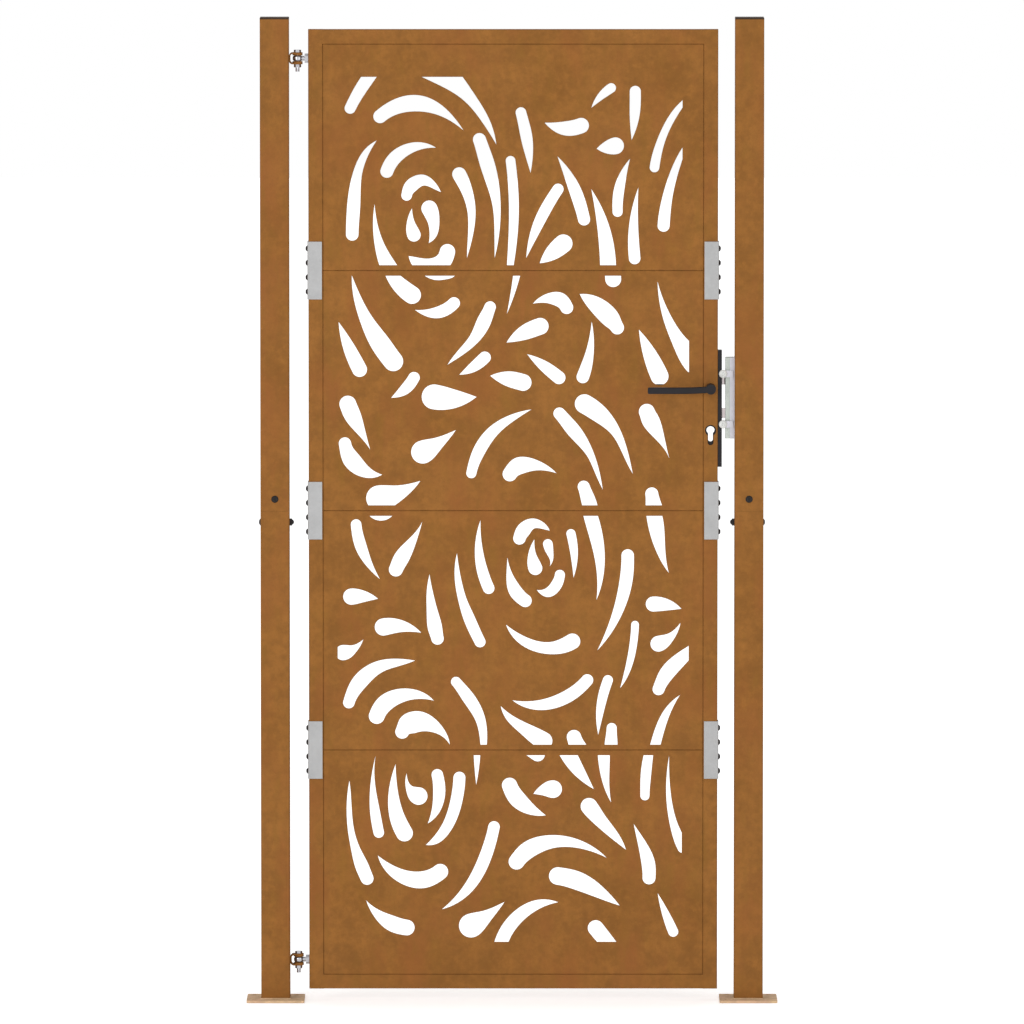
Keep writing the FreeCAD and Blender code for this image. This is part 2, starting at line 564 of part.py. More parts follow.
def nut_strips(side):
    """Threaded strips inside the stile that the joint screws pull on."""
    face, out = stile_side(side)
    inside = face - out * STILE_WALL
    pieces = []
    for seam in SEAMS:
        xs = sorted((inside, inside - out * NUT_STRIP_T))
        half_h = JOINT_H / 2 - 2
        strip = box(xs[0], xs[1], -NUT_STRIP_HALF, NUT_STRIP_HALF, seam - half_h, seam + half_h)
        for off in JOINT_SCREW_OFF:
            start = V(face, 0, seam + off)
            strip = strip.cut(rod(JOINT_SCREW_R, start, start - V(out * CUT, 0, 0)))
        pieces.append(strip)
    export("nut_strips_" + side, Part.makeCompound(pieces))


# ---------------------------------------------------------------- panels

SEAM_BOLT_SHARES = (0.15, 0.5, 0.85)
SEAM_BOLT_TAIL = 8.0
SEAM_NUT_AF = 10.0
SEAM_NUT_T = 5.0


def seam_bolt_xs():
    """Places of the bolts that hold two panels together."""
    return [LEAF_X0 + STILE + share * (LEAF_W - 2 * STILE) for share in SEAM_BOLT_SHARES]


def middle_line(points):
    """Directions of the middle line at every station but the tip, from arcs through the points."""
    directions = []
    for before, here, after in zip(points, points[1:], points[2:]):
        a = here - before
        b = after - here
        step = a * (b.Length / a.Length) + b * (a.Length / b.Length)
        directions.append(step.normalize())
    chord = (points[1] - points[0]).normalize()
    first = chord * (2 * chord.dot(directions[0])) - directions[0]
    return [first] + directions


def petal(stations):
    """Face of one petal: a round end, two smooth sides and a point."""
    points = [V(LEAF_X0 + s[0], FRONT - 1, LEAF_Z0 + s[1]) for s in stations]
    directions = middle_line(points)
    widths = [s[2] for s in stations[:-1]]
    sides = []
    for sign in (-1, 1):
        edge = [p + V(d.z, 0, -d.x) * (sign * w) for p, d, w in zip(points, directions, widths)]
        curve = Part.BSplineCurve()
        edge.append(points[-1])
        flags = [True] + [False] * (len(edge) - 1)
        curve.interpolate(Points=edge, Tangents=[directions[0]] * len(edge), TangentFlags=flags)
        sides.append(curve)
    round_end = Part.Arc(sides[0].StartPoint, points[0] - directions[0] * widths[0], sides[1].StartPoint)
    return Part.Face(Part.Wire([round_end.toShape(), sides[1].toShape(), sides[0].toShape()]))


def cut_window(k):
    """Block inside which panel k may be cut."""
    side = BORDER_OUTER if k in (0, PANELS - 1) else BORDER_INNER
    z0 = LEAF_Z0 + (BORDER_END if k == 0 else PANEL_H * k + BORDER_SEAM)
    z1 = LEAF_Z0 + (LEAF_H - BORDER_END if k == PANELS - 1 else PANEL_H * (k + 1) - BORDER_SEAM)
    return box(LEAF_X0 + side, LEAF_X1 - side, FRONT - 1, FRONT + SHEET + 1, z0, z1)


def panel(k):
    """One cut-out sheet folded back on all four sides."""
    x0 = LEAF_X0 + STILE
    x1 = LEAF_X1 - STILE
    z0 = LEAF_Z0 + PANEL_H * k + (STILE if k == 0 else 0)
    z1 = LEAF_Z0 + PANEL_H * (k + 1) - (STILE if k == PANELS - 1 else 0)
    tray = box(x0, x1, FRONT, FRONT + FOLD_DEPTH, z0, z1)
    tray = tray.makeFillet(FOLD_R, [e for e in tray.Edges if abs(e.CenterOfMass.y - FRONT) < 0.01])
    back = FRONT + FOLD_DEPTH + 1
    tray = tray.cut(box(x0 + SHEET, x1 - SHEET, FRONT + SHEET, back, z0 + SHEET, z1 - SHEET))
    cuts = []
    for z in panel_screw_heights(k):
        for x in (x0, x1):
            cuts.append(rod(PANEL_SCREW_R + SCREW_PLAY, V(x - 5, 0, z), V(x + 5, 0, z)))
    for x in seam_bolt_xs():
        for z in (z0, z1):
            if LEAF_Z0 + STILE + 5 < z < LEAF_Z1 - STILE - 5:
                cuts.append(rod(PANEL_SCREW_R + SCREW_PLAY, V(x, 0, z - 5), V(x, 0, z + 5)))
    window = cut_window(k)
    for stations in PANEL_PETALS[k]:
        prism = petal(stations).extrude(V(0, SHEET + 2, 0))
        cuts.extend(prism.common(window).Solids)
    export("panel_%d" % (k + 1), tray.cut(cuts))


def panel_fasteners():
    """Screws from the panel folds into the stiles, and bolts with nuts through the seams."""
    pieces = []
    for k in range(PANELS):
        for z in panel_screw_heights(k):
            for side in ("left", "right"):
                face, out = stile_side(side)
                base = V(face - out * (STILE + SHEET), 0, z)
                shank = rod(PANEL_SCREW_R, base, base + V(out * PANEL_SCREW_L, 0, 0))
                pieces.append(fuse([shank, button(PANEL_HEAD_R, PANEL_HEAD_H, base, V(-out, 0, 0))]))
    for seam in SEAMS:
        for x in seam_bolt_xs():
            top = V(x, 0, seam + SHEET)
            foot = V(x, 0, seam - SHEET)
            shank = rod(PANEL_SCREW_R, top, foot - V(0, 0, SEAM_BOLT_TAIL))
            pieces.append(fuse([shank, button(PANEL_HEAD_R, PANEL_HEAD_H, top, V(0, 0, 1))]))
            pieces.append(hexagon(SEAM_NUT_AF, foot, foot - V(0, 0, SEAM_NUT_T), PANEL_SCREW_R))
    export("panel_fasteners", Part.makeCompound(pieces))


# ---------------------------------------------------------------- lock

CASE_Z0 = FOREND_Z0 + 5
CASE_Z1 = FOREND_Z0 + FOREND_H - 5
CASE_HALF_D = 10.0
CASE_WALL = 2.0
CASE_PLAY = 0.3
CASE_END = 16.0
CASE_BACK_X = LEAF_X1 - STILE + STILE_WALL + 1
CASE_KEYHOLE = (8.5, 5.0, 24.5)
STILE_KEYHOLE = (11.5, 6.0, 30.5)
FOLLOWER_R = 8.45
FOLLOWER_PLAY = 0.05
SPINDLE = 8.0
SPINDLE_HOLE_R = 7.0
BOLT_HALF_D = 6.0
BOLT_HALF_H = 10.0
BOLT_PLAY = 0.3
LATCH_OUT = 16.0
LATCH_BEVEL = 11.0
LATCH_NOSE = 3.0
LATCH_TAIL_HALF_D = 3.0
LATCH_TAIL_H = 7.0
DEADBOLT_OUT = 20.0
FOREND_HALF_W = 12.0
FOREND_WALL = 2.5
FOREND_EDGE_R = 1.0
SCREW_INSET = 11.0
FOREND_SCREW_R = 2.5
FOREND_HEAD_R = 4.5
FOREND_HEAD_T = 2.0
FOREND_SCREW_IN = 10.0
FOREND_SCREW_Z = (FOREND_Z0 + SCREW_INSET, FOREND_Z0 + FOREND_H - SCREW_INSET)


def lock_case():
    """Box that carries the follower and guides the bolts."""
    outer = box(CASE_BACK_X, LEAF_X1, -CASE_HALF_D, CASE_HALF_D, CASE_Z0, CASE_Z1)
    core_d = CASE_HALF_D - CASE_WALL
    shape = outer.cut(box(CASE_BACK_X + CASE_WALL, LEAF_X1 + 1, -core_d, core_d,
                          CASE_Z0 + CASE_END, CASE_Z1 - CASE_END))
    cuts = [rod(FOLLOWER_R + FOLLOWER_PLAY, V(LOCK_X, -CUT, SPINDLE_Z), V(LOCK_X, CUT, SPINDLE_Z))]
    cuts.append(keyhole(CASE_KEYHOLE))
    for z in FOREND_SCREW_Z:
        cuts.append(rod(FOREND_SCREW_R, V(LEAF_X1 - FOREND_SCREW_IN - 2, 0, z), V(LEAF_X1 + 1, 0, z)))
    export("lock_case", shape.cut(cuts))


def forend():
    """Channel-shaped front plate with the windows of the two bolts."""
    z1 = FOREND_Z0 + FOREND_H
    outer = box(LEAF_X1, FOREND_X, -FOREND_HALF_W, FOREND_HALF_W, FOREND_Z0, z1)
    rim = [e for e in outer.Edges if abs(e.CenterOfMass.x - FOREND_X) < 0.01]
    outer = outer.makeFillet(FOREND_EDGE_R, rim)
    wall = FOREND_WALL
    shape = outer.cut(box(LEAF_X1 - 1, FOREND_X - wall, -FOREND_HALF_W + wall, FOREND_HALF_W - wall,
                          FOREND_Z0 + wall, z1 - wall))
    cuts = []
    for z in (LATCH_Z, DEADBOLT_Z):
        half_h = BOLT_HALF_H + BOLT_PLAY
        half_d = BOLT_HALF_D + BOLT_PLAY
        cuts.append(box(LEAF_X1, FOREND_X + 1, -half_d, half_d, z - half_h, z + half_h))
    hole_r = FOREND_SCREW_R + SCREW_PLAY
    for z in FOREND_SCREW_Z:
        cuts.append(rod(hole_r, V(LEAF_X1, 0, z), V(FOREND_X + 1, 0, z)))
        sink_r = FOREND_HEAD_R + SCREW_PLAY
        cuts.append(Part.makeCone(sink_r, hole_r, FOREND_HEAD_T, V(FOREND_X, 0, z), V(-1, 0, 0)))
    export("lock_forend", shape.cut(cuts))


def forend_screws():
    """Countersunk screws that hold the forend to the case."""
    pieces = []
    for z in FOREND_SCREW_Z:
        head = Part.makeCone(FOREND_HEAD_R, FOREND_SCREW_R, FOREND_HEAD_T, V(FOREND_X, 0, z), V(-1, 0, 0))
        shank = rod(FOREND_SCREW_R, V(FOREND_X - 1, 0, z), V(LEAF_X1 - FOREND_SCREW_IN, 0, z))
        slot = box(FOREND_X - 0.8, FOREND_X + 1, -FOREND_HEAD_R, FOREND_HEAD_R, z - 0.5, z + 0.5)
        pieces.append(fuse([head, shank]).cut(slot))
    export("lock_forend_screws", Part.makeCompound(pieces))


def latch_bolt():
    """Sprung latch with a bevel on the closing side and a thin tail."""
    tip = FOREND_X + LATCH_OUT
    head_back = FOREND_X - 2
    tail_back = CASE_BACK_X + CASE_WALL + LATCH_OUT + 1
    bottom = LATCH_Z - BOLT_HALF_H
    corners = ((head_back, -BOLT_HALF_D), (tip - LATCH_BEVEL, -BOLT_HALF_D), (tip, BOLT_HALF_D - LATCH_NOSE),
               (tip, BOLT_HALF_D), (head_back, BOLT_HALF_D), (head_back, -BOLT_HALF_D))
    outline = [V(x, y, bottom) for x, y in corners]
    head = Part.Face(Part.makePolygon(outline)).extrude(V(0, 0, 2 * BOLT_HALF_H))
    tail = box(tail_back, head_back, -LATCH_TAIL_HALF_D, LATCH_TAIL_HALF_D, LATCH_Z, LATCH_Z + LATCH_TAIL_H)
    export("latch_bolt", fuse([head, tail]))


def deadbolt():
    """Square bolt, thrown."""
    bolt = box(LEAF_X1 - 4, FOREND_X + DEADBOLT_OUT, -BOLT_HALF_D, BOLT_HALF_D,
               DEADBOLT_Z - BOLT_HALF_H, DEADBOLT_Z + BOLT_HALF_H)
    tip = FOREND_X + DEADBOLT_OUT
    bolt = bolt.makeChamfer(0.8, [e for e in bolt.Edges if abs(e.CenterOfMass.x - tip) < 0.01])
    export("deadbolt", bolt)


def follower():
    """Round hub in the case with the square hole for the spindle."""
    hub = rod(FOLLOWER_R, V(LOCK_X, -CASE_HALF_D, SPINDLE_Z), V(LOCK_X, CASE_HALF_D, SPINDLE_Z))
    half = SPINDLE / 2
    square = box(LOCK_X - half, LOCK_X + half, -CUT, CUT, SPINDLE_Z - half, SPINDLE_Z + half)
    export("lock_follower", hub.cut(square))


# ---------------------------------------------------------------- handles

HUB_R = 10.5
HUB_GAP = 0.4
HANDLE_REACH = 52.0
LEVER_LENGTH = 131.0
LEVER_T = 10.0
LEVER_H = 13.5
LEVER_DROP = 2.8
LEVER_END = 1.5
LEVER_EDGE_R = 2.5
GRUB_R = 2.5
GRUB_Y = LEAF_D / 2 + 12.0
GRUB_INSET = 0.6
SPINDLE_REACH = 40.0


def spindle():
    """Square bar that joins the two handles."""
    half = SPINDLE / 2
    export("handle_spindle", box(LOCK_X - half, LOCK_X + half, -SPINDLE_REACH, SPINDLE_REACH,
                                 SPINDLE_Z - half, SPINDLE_Z + half))


def lever_edge(offset):
    """Line along the lever at a height off its middle line; it dips by the hub and then runs level."""
    points = []
    for share, drop in ((0.0, 0.0), (0.3, 0.85), (0.65, 1.0), (1.0, 1.0)):
        x = LOCK_X - share * (LEVER_LENGTH - LEVER_END)
        points.append(V(x, 0, SPINDLE_Z - drop * LEVER_DROP + offset))
    curve = Part.BSplineCurve()
    curve.interpolate(points)
    return curve


def handle(name, sign):
    """Lever with its hub; sign -1 in front of the leaf, +1 behind it."""
    near = sign * (LEAF_D / 2 + HUB_GAP)
    far = sign * HANDLE_REACH
    hub = rod(HUB_R, V(LOCK_X, near, SPINDLE_Z), V(LOCK_X, far, SPINDLE_Z))
    upper = lever_edge(LEVER_H / 2)
    lower = lever_edge(-LEVER_H / 2)
    tip = (upper.EndPoint + lower.EndPoint) * 0.5 - V(LEVER_END, 0, 0)
    end = Part.Arc(upper.EndPoint, tip, lower.EndPoint)
    root = Part.LineSegment(lower.StartPoint, upper.StartPoint)
    wire = Part.Wire([upper.toShape(), end.toShape(), lower.toShape(), root.toShape()])
    bar = Part.Face(wire).extrude(V(0, LEVER_T, 0))
    bar.translate(V(0, min(far, far - sign * LEVER_T), 0))
    long_edges = [e for e in bar.Edges if e.Length > LEVER_LENGTH / 2]
    bar = bar.makeFillet(LEVER_EDGE_R, long_edges)
    half = SPINDLE / 2
    reach = SPINDLE_REACH
    socket = box(LOCK_X - half, LOCK_X + half, -reach, reach, SPINDLE_Z - half, SPINDLE_Z + half)
    y = sign * GRUB_Y
    grub = rod(GRUB_R, V(LOCK_X, y, SPINDLE_Z - HUB_R - 1), V(LOCK_X, y, SPINDLE_Z))
    export("handle_" + name, fuse([hub, bar]).cut([socket, grub]))


def handle_grub_screws():
    """Set screws from below that grip the spindle."""
    pieces = []
    for sign in (-1, 1):
        y = sign * GRUB_Y
        low = V(LOCK_X, y, SPINDLE_Z - HUB_R + GRUB_INSET)
        screw = rod(GRUB_R, low, V(LOCK_X, y, SPINDLE_Z - SPINDLE / 2))
        pieces.append(screw.cut(hexagon(GRUB_R, low, low + V(0, 0, GRUB_R))))
    export("handle_grub_screws", Part.makeCompound(pieces))


# ---------------------------------------------------------------- keep

KEEP_SPLIT = HALF_W - 10.0
KEEP_BACK_T = 3.0
KEEP_BEND_R = 2.0
KEEP_WINDOW_PLAY = (1.0, 1.5)
KEEP_HALF_D = 14.0
KEEP_WALL = 2.5
KEEP_SCREW_Z = (1190.0, 1259.5, 1330.0)
KEEP_SCREW_R = 3.0
KEEP_SCREW_L = 9.0
KEEP_HEAD_R = 5.0
KEEP_HEAD_H = 2.0
STOP_X = 438.5
STOP_TAB_HALF = 7.0
STOP_TAB_T = 2.0
STOP_SHANK_R = 3.0
STOP_HEAD_R = 8.75
STOP_HEAD_H = 5.0
STOP_PAD_R = 6.5
STOP_PAD_GAP = 0.5


def keep_base():
    """Channel on the post, with two tabs that carry the stops."""
    z1 = KEEP_Z0 + KEEP_H
    wall = KEEP_WALL
    outer = box(KEEP_SPLIT, HALF_W, -KEEP_HALF_D, KEEP_HALF_D, KEEP_Z0, z1)
    inner_d = KEEP_HALF_D - wall
    back = HALF_W - KEEP_BACK_T
    pieces = [outer.cut(box(KEEP_SPLIT - 1, back, -inner_d, inner_d, KEEP_Z0 - 1, z1 + 1))]
    for z in STOP_Z:
        y1 = -KEEP_HALF_D
        y0 = y1 - STOP_TAB_T
        pieces.append(box(STOP_X, back, y0, y1, z - STOP_TAB_HALF, z + STOP_TAB_HALF))
        pieces.append(rod(STOP_TAB_HALF, V(STOP_X, y0, z), V(STOP_X, y1, z)))
    cuts = [rod(KEEP_SCREW_R + SCREW_PLAY, V(back - 1, 0, z), V(HALF_W + 1, 0, z)) for z in KEEP_SCREW_Z]
    cuts += [rod(STOP_SHANK_R, V(STOP_X, -CUT, z), V(STOP_X, 0, z)) for z in STOP_Z]
    export("keep_base", fuse(pieces).cut(cuts))


def keep_strike():
    """Inner channel with the windows the bolts shoot into."""
    z1 = KEEP_Z0 + KEEP_H
    half_d = KEEP_HALF_D - KEEP_WALL
    outer = box(KEEP_X, HALF_W - 5, -half_d, half_d, KEEP_Z0, z1)
    bends = [e for e in edges_along(outer, V(0, 0, 1)) if abs(e.CenterOfMass.x - KEEP_X) < 0.1]
    outer = outer.makeFillet(KEEP_BEND_R, bends)
    wall = KEEP_WALL
    shape = outer.cut(box(KEEP_X + wall, HALF_W, -half_d + wall, half_d - wall, KEEP_Z0 - 1, z1 + 1))
    window_d = BOLT_HALF_D + KEEP_WINDOW_PLAY[0]
    window_h = BOLT_HALF_H + KEEP_WINDOW_PLAY[1]
    for z in (LATCH_Z, DEADBOLT_Z):
        window = box(KEEP_X - 1, KEEP_X + wall + 1, -window_d, window_d, z - window_h, z + window_h)
        shape = shape.cut(window)
    export("keep_strike", shape)


def keep_stops():
    """Mushroom-head stops with a pad for the forend to rest on."""
    pieces = []
    for z in STOP_Z:
        face = -KEEP_HALF_D - STOP_TAB_T
        head = button(STOP_HEAD_R, STOP_HEAD_H, V(STOP_X, face, z), V(0, -1, 0))
        shank = rod(STOP_SHANK_R, V(STOP_X, face, z), V(STOP_X, -KEEP_HALF_D, z))
        pad = rod(STOP_PAD_R, V(STOP_X, -KEEP_HALF_D, z), V(STOP_X, -FOREND_HALF_W - STOP_PAD_GAP, z))
        pieces.append(fuse([head, shank, pad]))
    export("keep_stops", Part.makeCompound(pieces))


def keep_screws():
    """Screws from the keep into the lock post."""
    pieces = []
    for z in KEEP_SCREW_Z:
        base = V(HALF_W - KEEP_BACK_T, 0, z)
        shank = rod(KEEP_SCREW_R, base, base + V(KEEP_SCREW_L, 0, 0))
        pieces.append(fuse([shank, button(KEEP_HEAD_R, KEEP_HEAD_H, base, V(-1, 0, 0))]))
    export("keep_screws", Part.makeCompound(pieces))


def build():
    """Make every sub-part."""
    os.makedirs(PARTS, exist_ok=True)
    for name, x, outward in (("left", -POST_X, -1), ("right", POST_X, 1)):
        post_halves(name, x, [] if outward < 0 else keep_holes())
        post_sleeve(name, x)
        post_cap(name, x)
        base_plate(name, x)
        post_fasteners(name, x, outward)
    for name, z in HINGE_Z.items():
        hinge_bracket(name, z)
        hinge_pin(name, z)
        eyebolt(name, z)
        eyebolt_nuts(name, z)
    hinge_nuts()
    for side in ("left", "right"):
        for k in range(PANELS):
            stile(side, k)
        for k in range(PANELS - 1):
            joint_plate(side, k)
        joint_screws(side)
        nut_strips(side)
    rail("bottom", LEAF_Z0)
    rail("top", LEAF_Z1 - STILE)
    for k in range(PANELS):
        panel(k)
    panel_fasteners()
    lock_case()
    forend()
    forend_screws()
    latch_bolt()
    deadbolt()
    follower()
    spindle()
    handle("front", -1)
    handle("rear", 1)
    handle_grub_screws()
    keep_base()
    keep_strike()
    keep_stops()
    keep_screws()


build()
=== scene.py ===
import json
import math

import bpy
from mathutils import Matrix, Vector


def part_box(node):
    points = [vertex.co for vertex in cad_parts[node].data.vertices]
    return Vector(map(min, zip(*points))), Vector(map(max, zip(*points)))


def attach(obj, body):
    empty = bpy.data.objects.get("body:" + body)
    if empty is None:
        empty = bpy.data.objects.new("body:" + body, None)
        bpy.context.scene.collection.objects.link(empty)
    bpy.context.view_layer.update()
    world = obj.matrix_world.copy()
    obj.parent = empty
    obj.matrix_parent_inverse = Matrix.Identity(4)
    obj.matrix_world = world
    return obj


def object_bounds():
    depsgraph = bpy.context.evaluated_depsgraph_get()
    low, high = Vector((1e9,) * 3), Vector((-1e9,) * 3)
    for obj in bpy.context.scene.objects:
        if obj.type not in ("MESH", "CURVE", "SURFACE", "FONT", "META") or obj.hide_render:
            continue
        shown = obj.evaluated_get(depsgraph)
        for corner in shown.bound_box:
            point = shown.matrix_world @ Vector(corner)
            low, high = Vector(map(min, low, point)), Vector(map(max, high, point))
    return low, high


# Garden gate of weathering steel: materials, threads, welds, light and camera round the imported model.

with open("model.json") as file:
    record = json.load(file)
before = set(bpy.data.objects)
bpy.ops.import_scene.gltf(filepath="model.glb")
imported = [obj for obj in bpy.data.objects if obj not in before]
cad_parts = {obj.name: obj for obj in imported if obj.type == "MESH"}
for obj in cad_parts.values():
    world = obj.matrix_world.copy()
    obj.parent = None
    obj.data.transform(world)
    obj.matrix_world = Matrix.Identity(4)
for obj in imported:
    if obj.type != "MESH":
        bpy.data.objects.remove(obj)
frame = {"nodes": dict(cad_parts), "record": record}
cad_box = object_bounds()

MM = 0.001

# M8 pivot bolts and M10 eyebolts; the thread of an eyebolt starts at EYE_REACH from the far side of its eye
PIVOT_BOLT_R = 4.0 * MM
PIVOT_PITCH = 1.25 * MM
PIVOT_NUT_H = 6.5 * MM
EYEBOLT_R = 5.0 * MM
EYEBOLT_PITCH = 1.5 * MM
EYE_REACH = 20 * MM

# Thread mesh; root and ridge are shares of the bolt's radius
THREAD_ROOT = 0.985
THREAD_RIDGE = 0.055
THREAD_COLUMNS = 24
ROWS_PER_TURN = 6

# Legs of the welds, and how far they stop short of the ends of what they join
FOOT_WELD = 2.8 * MM
BRACKET_WELD = 2.6 * MM
BRACKET_WELD_INSET = 8 * MM
RAIL_WELD = 2.4 * MM
RAIL_WELD_INSET = 3 * MM

# Weld mesh, in shares of its leg: pitch of the ripples, valley and wave, thin end and growth, face and crown
RIPPLE_PITCH = 0.7
RIPPLE_VALLEY = 0.78
RIPPLE_WAVE = 0.22
WELD_END = 0.35
WELD_GROWTH = 0.65
WELD_FACE = 0.80
WELD_CROWN = 0.14
TAPERS_IN_A_WELD = 12
WELD_COLUMNS = 7
ROWS_PER_RIPPLE = 5
FEWEST_WELD_ROWS = 8

# Studio in metres, and the camera in heights of the gate
FLOOR_SIZE = 60
FLOOR_DROP = 0.5 * MM
LAMP_TARGET = (0, 0, 1.0)
LENS = 441
SENSOR_WIDTH = 36
CLIP_END = 100
CAMERA_BACK = 12.68
CAMERA_UP = 1.563
AIM_UP = 0.498

WHITE = (1.0, 1.0, 1.0, 1.0)
NEAR_WHITE = (0.98, 0.98, 0.98, 1.0)


# ---------------------------------------------------------------- node helpers


def srgb(red, green, blue):
    """Display values 0 to 255 as the linear colour that a shader takes."""
    linear = []
    for value in (red, green, blue):
        share = value / 255
        linear.append(share / 12.92 if share <= 0.04045 else ((share + 0.055) / 1.055) ** 2.4)
    return (*linear, 1.0)


def shade(colour, factor):
    """A linear colour made darker or lighter."""
    return (*(min(1.0, part * factor) for part in colour[:3]), 1.0)


def new_node(tree, kind, inputs=None, **settings):
    """A shader node with its settings and unlinked inputs filled in."""
    made = tree.nodes.new(kind)
    for key, value in settings.items():
        setattr(made, key, value)
    for key, value in (inputs or {}).items():
        if isinstance(value, bpy.types.NodeSocket):
            tree.links.new(value, made.inputs[key])
        else:
            made.inputs[key].default_value = value
    return made


def place(tree, stretch=(1, 1, 1)):
    """Coordinates fixed to the piece, in metres, with an optional stretch."""
    coords = new_node(tree, "ShaderNodeTexCoord")
    mapped = new_node(tree, "ShaderNodeMapping", {"Vector": coords.outputs["Object"], "Scale": stretch})
    return mapped.outputs["Vector"]


def noise(tree, vector, scale, detail=3.0, rough=0.55):
    """Soft noise between 0 and 1."""
    inputs = {"Vector": vector, "Scale": scale, "Detail": detail, "Roughness": rough}
    return new_node(tree, "ShaderNodeTexNoise", inputs).outputs["Fac"]


def cells(tree, vector, scale):
    """One random value for each cell of a broken-up surface."""
    made = new_node(tree, "ShaderNodeTexVoronoi", {"Vector": vector, "Scale": scale})
    return made.outputs["Color"]


def ramp(tree, fac, stops):
    """Colours along a value; stops are (place, colour)."""
    made = new_node(tree, "ShaderNodeValToRGB", {"Fac": fac})
    bar = made.color_ramp
    while len(bar.elements) < len(stops):
        bar.elements.new(0.5)
    for element, (where, colour) in zip(bar.elements, stops):
        element.position = where
        element.color = colour
    return made.outputs["Color"]


def spread(tree, fac, low, high, out_low, out_high):
    """Moves a value from one range to another."""
    inputs = {"Value": fac, "From Min": low, "From Max": high, "To Min": out_low, "To Max": out_high}
    return new_node(tree, "ShaderNodeMapRange", inputs).outputs["Result"]


def mix(tree, fac, first, second):
    """Blend of two colours, through the node's sockets for a factor and for colours."""
    made = new_node(tree, "ShaderNodeMix", data_type="RGBA")
    for index, value in ((0, fac), (6, first), (7, second)):
        if isinstance(value, bpy.types.NodeSocket):
            tree.links.new(value, made.inputs[index])
        else:
            made.inputs[index].default_value = value
    return made.outputs[2]


def veil(tree, fac, low, high, amount, under, over):
    """Lays a colour over another where a value runs from low to high, at most by an amount."""
    return mix(tree, spread(tree, fac, low, high, 0.0, amount), under, over)


def rounded(tree, radius):
    """Normal with rounded edges, and a mask that is 1 on the edges."""
    bevel = new_node(tree, "ShaderNodeBevel", {"Radius": radius}, samples=4)
    flat = new_node(tree, "ShaderNodeNewGeometry")
    dot = new_node(tree, "ShaderNodeVectorMath", {0: bevel.outputs["Normal"], 1: flat.outputs["Normal"]},
                   operation="DOT_PRODUCT")
    edge = spread(tree, dot.outputs["Value"], 0.8, 0.995, 1.0, 0.0)
    return bevel.outputs["Normal"], edge


def bump(tree, height, depth, strength, normal):
    """Bumped normal from a height."""
    inputs = {"Height": height, "Distance": depth, "Strength": strength, "Normal": normal}
    return new_node(tree, "ShaderNodeBump", inputs).outputs["Normal"]


def start(name):
    """Empty node material and its surface shader."""
    made = bpy.data.materials.new(name)
    made.use_nodes = True
    tree = made.node_tree
    tree.nodes.clear()
    shader = new_node(tree, "ShaderNodeBsdfPrincipled")
    output = new_node(tree, "ShaderNodeOutputMaterial")
    tree.links.new(shader.outputs["BSDF"], output.inputs["Surface"])
    return made, tree, shader


def finish_shader(tree, shader, colour, rough, normal, metal, gloss):
    """Links what varies and sets what is the same all over."""
    tree.links.new(colour, shader.inputs["Base Color"])
    tree.links.new(rough, shader.inputs["Roughness"])
    tree.links.new(normal, shader.inputs["Normal"])
    shader.inputs["Metallic"].default_value = metal
    shader.inputs["Specular IOR Level"].default_value = gloss


# ---------------------------------------------------------------- materials


def rust_patina(name, main, edge_radius=1.2 * MM, mottle=1.0):
    """Rust with cloudy blotches of several sizes, run-down streaks, fine grain and darker edges."""
    made, tree, shader = start(name)
    blotch = noise(tree, place(tree), 7.0, detail=4.0, rough=0.6)
    tone = ramp(tree, blotch, [(0.30, shade(main, 0.84)), (0.50, main), (0.72, shade(main, 1.10))])
    for clouds_per_metre, amount in ((16.0, 0.55), (38.0, 0.50), (85.0, 0.35)):
        cloud = noise(tree, place(tree), clouds_per_metre, rough=0.65)
        tone = veil(tree, cloud, 0.50, 0.66, amount * mottle, tone, shade(main, 0.74))
        tone = veil(tree, cloud, 0.48, 0.32, amount * mottle, tone, shade(main, 1.24))
    warm = noise(tree, place(tree, (1, 1, 0.45)), 13.0)
    redder = (main[0] * 1.03, main[1] * 0.86, main[2] * 1.05, 1.0)
    tone = veil(tree, warm, 0.48, 0.72, 0.75, tone, redder)
    olive = noise(tree, place(tree, (1.7, 1.7, 0.6)), 21.0, detail=2.0)
    greener = (main[0] * 0.90, main[1] * 1.02, main[2] * 0.80, 1.0)
    tone = veil(tree, olive, 0.55, 0.75, 0.5, tone, greener)
    streak = noise(tree, place(tree, (1, 1, 0.04)), 70.0)
    tone = veil(tree, streak, 0.35, 0.7, 0.22, tone, shade(main, 0.80))
    grain = noise(tree, place(tree), 650.0, detail=2.0, rough=0.7)
    tone = mix(tree, spread(tree, grain, 0.35, 0.7, 0.25 * mottle, 0.0), tone, shade(main, 0.66))
    soft, edge = rounded(tree, edge_radius)
    tone = veil(tree, edge, 0.0, 1.0, 0.6, tone, shade(greener, 0.55))
    pits = noise(tree, place(tree), 900.0, rough=0.65)
    normal = bump(tree, pits, depth=0.25 * MM, strength=0.35, normal=soft)
    rough = spread(tree, blotch, 0.3, 0.7, 0.90, 0.78)
    finish_shader(tree, shader, tone, rough, normal, metal=0.0, gloss=0.18)
    return made


